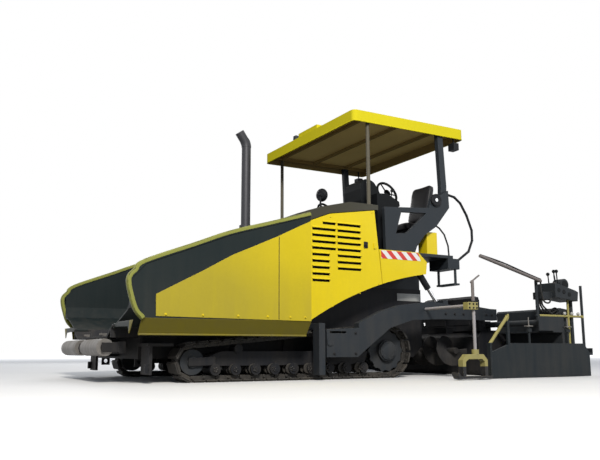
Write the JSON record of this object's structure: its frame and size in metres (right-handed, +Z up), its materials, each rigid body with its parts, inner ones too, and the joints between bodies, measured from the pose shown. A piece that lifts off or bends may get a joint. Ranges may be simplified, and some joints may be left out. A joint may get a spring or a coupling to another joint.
{
  "type": "asphalt paver",
  "caption": "Tracked asphalt paver: folding hopper wings and push rollers in front, canopied operator deck, augers, tow arms and an extending screed with end gates behind.",
  "frame": {"origin": "on the ground, at the middle of the whole machine's length and width", "axes": "+X to the rear, towards the screed; -Y is the machine's left side; +Z up"},
  "size_m": [6.1999, 4.61, 3.6663],
  "materials": {
    "yellow_paint": "satin",
    "dark_paint": "satin",
    "grey_paint": "satin",
    "bare_steel": "worn",
    "track_shoes": "dusty",
    "exhaust_steel": "heat stained",
    "seat_cover": "matt",
    "rod_chrome": "polished"
  },
  "bodies": {
    "tractor": {"chassis": "dark_paint", "hopper_body": "dark_paint", "conveyors": "bare_steel", "track_left": "track_shoes", "track_right": "track_shoes", "track_frames": "dark_paint", "drive_sprockets": "grey_paint", "idler_wheels": "grey_paint", "rear_panels": "yellow_paint", "hood": "dark_paint", "engine_block": "bare_steel", "exhaust": "exhaust_steel", "platform": "grey_paint", "side_frames": "grey_paint", "seat_frames": "dark_paint", "seat_cushions": "seat_cover", "consoles": "dark_paint", "mirror": "dark_paint", "canopy_roof": "yellow_paint", "canopy_posts": "grey_paint", "grab_rails": "dark_paint", "tow_brackets": "grey_paint", "auger_case": "dark_paint", "work_lamps": "grey_paint"},
    "wing_left": {"wing_left": "yellow_paint"},
    "wing_right": {"wing_right": "yellow_paint"},
    "push_beam": {"push_beam": "dark_paint"},
    "push_roller_left": {"push_roller_left": "bare_steel"},
    "push_roller_right": {"push_roller_right": "bare_steel"},
    "engine_door_left": {"engine_door_left": "yellow_paint"},
    "engine_door_right": {"engine_door_right": "yellow_paint"},
    "hood_lid": {"hood_lid": "dark_paint"},
    "lift_barrel_left": {"lift_barrel_left": "dark_paint"},
    "lift_barrel_right": {"lift_barrel_right": "dark_paint"},
    "lift_rod_left": {"lift_rod_left": "rod_chrome"},
    "lift_rod_right": {"lift_rod_right": "rod_chrome"},
    "auger_left": {"auger_left": "bare_steel"},
    "auger_right": {"auger_right": "bare_steel"},
    "screed": {"tow_arms": "grey_paint", "screed_main": "dark_paint", "grade_sensors": "yellow_paint"},
    "extension_left": {"screed_ext_left": "dark_paint", "end_gate_left": "grey_paint"},
    "extension_right": {"screed_ext_right": "dark_paint", "end_gate_right": "grey_paint"}
  },
  "joints": [
    {"name": "wing_left_fold", "type": "hinge", "parent": "tractor", "child": "wing_left", "pos_m": [-2, -0.905, 0.6], "axis": [-1, 0, 0], "range_deg": [0, 58]},
    {"name": "wing_right_fold", "type": "hinge", "parent": "tractor", "child": "wing_right", "pos_m": [-2, 0.905, 0.6], "axis": [1, 0, 0], "range_deg": [0, 58]},
    {"name": "push_beam_swing", "type": "hinge", "parent": "tractor", "child": "push_beam", "pos_m": [-2.75, 0, 0.375], "axis": [0, 0, 1], "range_deg": [-6, 6]},
    {"name": "push_roller_left_spin", "type": "hinge", "parent": "push_beam", "child": "push_roller_left", "pos_m": [-3.008, -0.5, 0.375], "axis": [0, 1, 0], "continuous": true},
    {"name": "push_roller_right_spin", "type": "hinge", "parent": "push_beam", "child": "push_roller_right", "pos_m": [-3.008, 0.5, 0.375], "axis": [0, 1, 0], "continuous": true},
    {"name": "engine_door_left_swing", "type": "hinge", "parent": "tractor", "child": "engine_door_left", "pos_m": [-0.805, -1.26, 1.2], "axis": [0, 0, -1], "range_deg": [0, 90]},
    {"name": "engine_door_right_swing", "type": "hinge", "parent": "tractor", "child": "engine_door_right", "pos_m": [-0.805, 1.26, 1.2], "axis": [0, 0, 1], "range_deg": [0, 90]},
    {"name": "hood_lid_lift", "type": "hinge", "parent": "tractor", "child": "hood_lid", "pos_m": [-0.474, 0, 2.082], "axis": [0, -1, 0], "range_deg": [0, 60]},
    {"name": "auger_left_spin", "type": "hinge", "parent": "tractor", "child": "auger_left", "pos_m": [1.55, -0.65, 0.33], "axis": [0, 1, 0], "continuous": true},
    {"name": "auger_right_spin", "type": "hinge", "parent": "tractor", "child": "auger_right", "pos_m": [1.55, 0.65, 0.33], "axis": [0, 1, 0], "continuous": true},
    {"name": "screed_lift", "type": "hinge", "parent": "tractor", "child": "screed", "pos_m": [-0.56, 0, 0.43], "axis": [0, -1, 0], "range_deg": [0, 6.5]},
    {"name": "extension_left_slide", "type": "slide", "parent": "screed", "child": "extension_left", "axis": [0, -1, 0], "range_m": [-0.88, 0.33]},
    {"name": "extension_right_slide", "type": "slide", "parent": "screed", "child": "extension_right", "axis": [0, 1, 0], "range_m": [-0.88, 0.33]},
    {"name": "lift_barrel_left_swing", "type": "hinge", "parent": "tractor", "child": "lift_barrel_left", "pos_m": [0.98, -1.19, 1.36], "axis": [0, -1, 0], "range_deg": [0, 12.5]},
    {"name": "lift_rod_left_slide", "type": "slide", "parent": "lift_barrel_left", "child": "lift_rod_left", "axis": [-0.5985, 0, 0.8012], "range_m": [0, 0.201]},
    {"name": "lift_barrel_right_swing", "type": "hinge", "parent": "tractor", "child": "lift_barrel_right", "pos_m": [0.98, 1.19, 1.36], "axis": [0, -1, 0], "range_deg": [0, 12.5]},
    {"name": "lift_rod_right_slide", "type": "slide", "parent": "lift_barrel_right", "child": "lift_rod_right", "axis": [-0.5985, 0, 0.8012], "range_m": [0, 0.201]}
  ],
  "couplings": [
    {"joint": "lift_barrel_left_swing", "follows": "screed_lift", "ratio": 1.8743},
    {"joint": "lift_rod_left_slide", "follows": "screed_lift", "m_per_rad": 1.7627},
    {"joint": "lift_barrel_right_swing", "follows": "screed_lift", "ratio": 1.8743},
    {"joint": "lift_rod_right_slide", "follows": "screed_lift", "m_per_rad": 1.7627}
  ]
}
